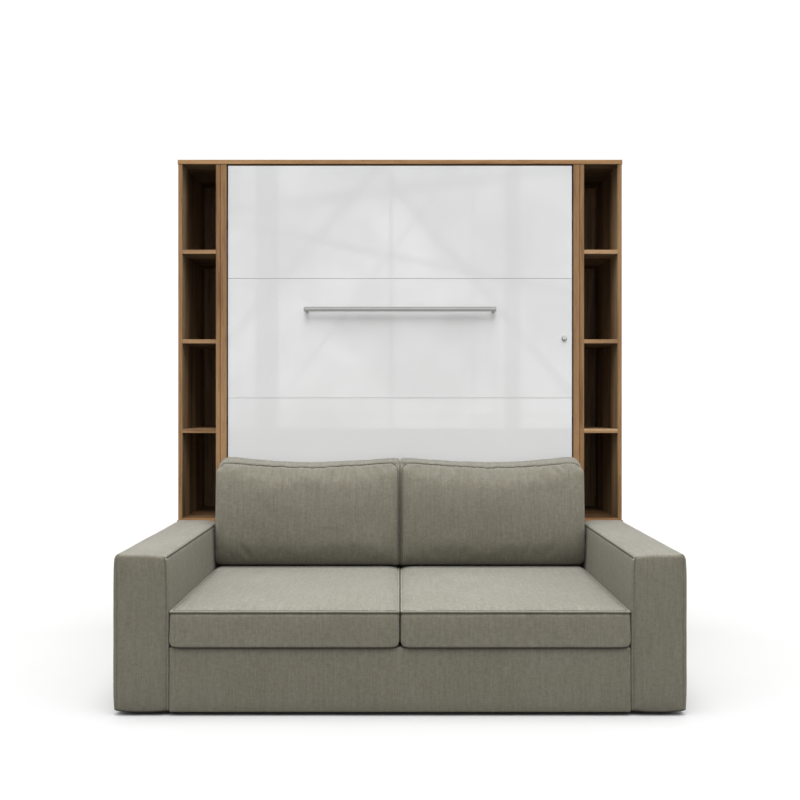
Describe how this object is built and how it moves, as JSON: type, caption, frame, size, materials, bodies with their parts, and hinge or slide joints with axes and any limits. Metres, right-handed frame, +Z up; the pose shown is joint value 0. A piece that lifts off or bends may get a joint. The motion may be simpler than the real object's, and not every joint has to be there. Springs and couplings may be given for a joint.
{
  "type": "wall bed with sofa and bookcases",
  "caption": "Upright wall bed with a white gloss front that tilts down over an upholstered sofa, between narrow open bookcases under a shared oak top board.",
  "frame": {"origin": "centre of the floor rectangle under the whole object", "axes": "+X to the viewer's right, +Y from the sofa towards the wall, +Z up"},
  "size_m": [2.008, 1.365, 2.188],
  "materials": {
    "oak": "matt oiled oak veneer",
    "oak_dark": "matt dark oak veneer",
    "timber": "plain sanded softwood",
    "white_gloss": "white high gloss lacquer",
    "linen": "grey-beige linen weave",
    "ticking": "knitted mattress cover",
    "webbing": "woven strap",
    "satin_metal": "satin",
    "zinc_steel": "zinc plated",
    "grey_steel": "powder coat",
    "black_steel": "black paint",
    "chrome": "polished rod",
    "brass": "turned",
    "rubber": "matt",
    "black_plastic": "matt"
  },
  "bodies": {
    "cabinet": {"top_board": "oak", "bookcase_left_outer_side": "oak", "bookcase_left_inner_side": "oak", "bookcase_right_outer_side": "oak", "bookcase_right_inner_side": "oak", "bookcase_backs": "oak_dark", "bookcase_shelves": "oak", "bookcase_base_boards": "oak", "bookcase_lower_fronts": "oak", "bed_cabinet_left_side": "oak", "bed_cabinet_right_side": "oak", "upper_wall_rail": "timber", "lower_wall_rail": "timber", "cabinet_plinth": "oak", "pivot_plates": "zinc_steel", "pivot_pins": "zinc_steel", "gas_spring_anchors": "zinc_steel", "lock_strike": "zinc_steel", "closing_buffers": "rubber", "arm_left_cover": "linen", "arm_right_cover": "linen", "arm_frames": "timber", "front_skirt": "linen", "front_rail": "timber", "rear_rail": "timber", "seat_webbing": "webbing", "sofa_feet": "black_plastic"},
    "bed": {"front_board_1": "white_gloss", "front_board_2": "white_gloss", "front_board_3": "white_gloss", "front_board_4": "white_gloss", "bed_side_rails": "timber", "bed_foot_rail": "timber", "bed_head_rail": "timber", "bed_centre_beam": "timber", "bed_slats": "timber", "mattress": "ticking", "mattress_straps": "webbing", "pivot_brackets": "zinc_steel", "pivot_bushes": "brass", "leg_brackets": "zinc_steel", "handle_bar": "satin_metal", "handle_posts": "satin_metal", "lock_escutcheon": "satin_metal"},
    "lock": {"lock_knob": "satin_metal", "lock_cam": "zinc_steel"},
    "left_leg": {"left_support_leg": "grey_steel", "left_leg_foot": "rubber"},
    "left_cylinder": {"left_gas_cylinder": "black_steel"},
    "left_rod": {"left_gas_rod": "chrome"},
    "left_seat": {"left_seat_cushion": "linen"},
    "left_back": {"left_back_cushion": "linen"},
    "right_leg": {"right_support_leg": "grey_steel", "right_leg_foot": "rubber"},
    "right_cylinder": {"right_gas_cylinder": "black_steel"},
    "right_rod": {"right_gas_rod": "chrome"},
    "right_seat": {"right_seat_cushion": "linen"},
    "right_back": {"right_back_cushion": "linen"}
  },
  "joints": [
    {"name": "bed_tilt", "type": "hinge", "parent": "cabinet", "child": "bed", "pos_m": [0, 0.2875, 0.5], "axis": [1, 0, 0], "range_deg": [0, 90]},
    {"name": "lock_turn", "type": "hinge", "parent": "bed", "child": "lock", "pos_m": [0.74, 0.2175, 1.3826], "axis": [0, -1, 0], "range_deg": [0, 90]},
    {"name": "left_leg_swing", "type": "hinge", "parent": "bed", "child": "left_leg", "pos_m": [-0.749, 0.3475, 2.101], "axis": [1, 0, 0], "range_deg": [0, 270]},
    {"name": "left_spring_swing", "type": "hinge", "parent": "cabinet", "child": "left_cylinder", "pos_m": [-0.757, 0.4675, 0.9], "axis": [1, 0, 0], "range_deg": [0, 6.6]},
    {"name": "left_spring_stroke", "type": "slide", "parent": "left_cylinder", "child": "left_rod", "axis": [0, -0.3511, -0.9363], "range_m": [-0.101, 0]},
    {"name": "left_back_cushion_off", "type": "hinge", "parent": "cabinet", "child": "left_back", "pos_m": [-0.402, -0.7155, -0.753], "axis": [1, 0, 0], "range_deg": [0, 90]},
    {"name": "left_seat_cushion_pull", "type": "slide", "parent": "cabinet", "child": "left_seat", "axis": [0, -1, 0], "range_m": [0, 0.6]},
    {"name": "right_leg_swing", "type": "hinge", "parent": "bed", "child": "right_leg", "pos_m": [0.749, 0.3475, 2.101], "axis": [1, 0, 0], "range_deg": [0, 270]},
    {"name": "right_spring_swing", "type": "hinge", "parent": "cabinet", "child": "right_cylinder", "pos_m": [0.757, 0.4675, 0.9], "axis": [1, 0, 0], "range_deg": [0, 6.6]},
    {"name": "right_spring_stroke", "type": "slide", "parent": "right_cylinder", "child": "right_rod", "axis": [0, -0.3511, -0.9363], "range_m": [-0.101, 0]},
    {"name": "right_back_cushion_off", "type": "hinge", "parent": "cabinet", "child": "right_back", "pos_m": [0.402, -0.7155, -0.753], "axis": [1, 0, 0], "range_deg": [0, 90]},
    {"name": "right_seat_cushion_pull", "type": "slide", "parent": "cabinet", "child": "right_seat", "axis": [0, -1, 0], "range_m": [0, 0.6]}
  ],
  "couplings": [
    {"joint": "left_leg_swing", "follows": "bed_tilt", "ratio": 3},
    {"joint": "left_spring_swing", "follows": "bed_tilt", "ratio": 0.072442},
    {"joint": "left_spring_stroke", "follows": "bed_tilt", "m_per_rad": -0.063872},
    {"joint": "left_back_cushion_off", "follows": "bed_tilt", "ratio": 1},
    {"joint": "right_leg_swing", "follows": "bed_tilt", "ratio": 3},
    {"joint": "right_spring_swing", "follows": "bed_tilt", "ratio": 0.072442},
    {"joint": "right_spring_stroke", "follows": "bed_tilt", "m_per_rad": -0.063872},
    {"joint": "right_back_cushion_off", "follows": "bed_tilt", "ratio": 1}
  ]
}
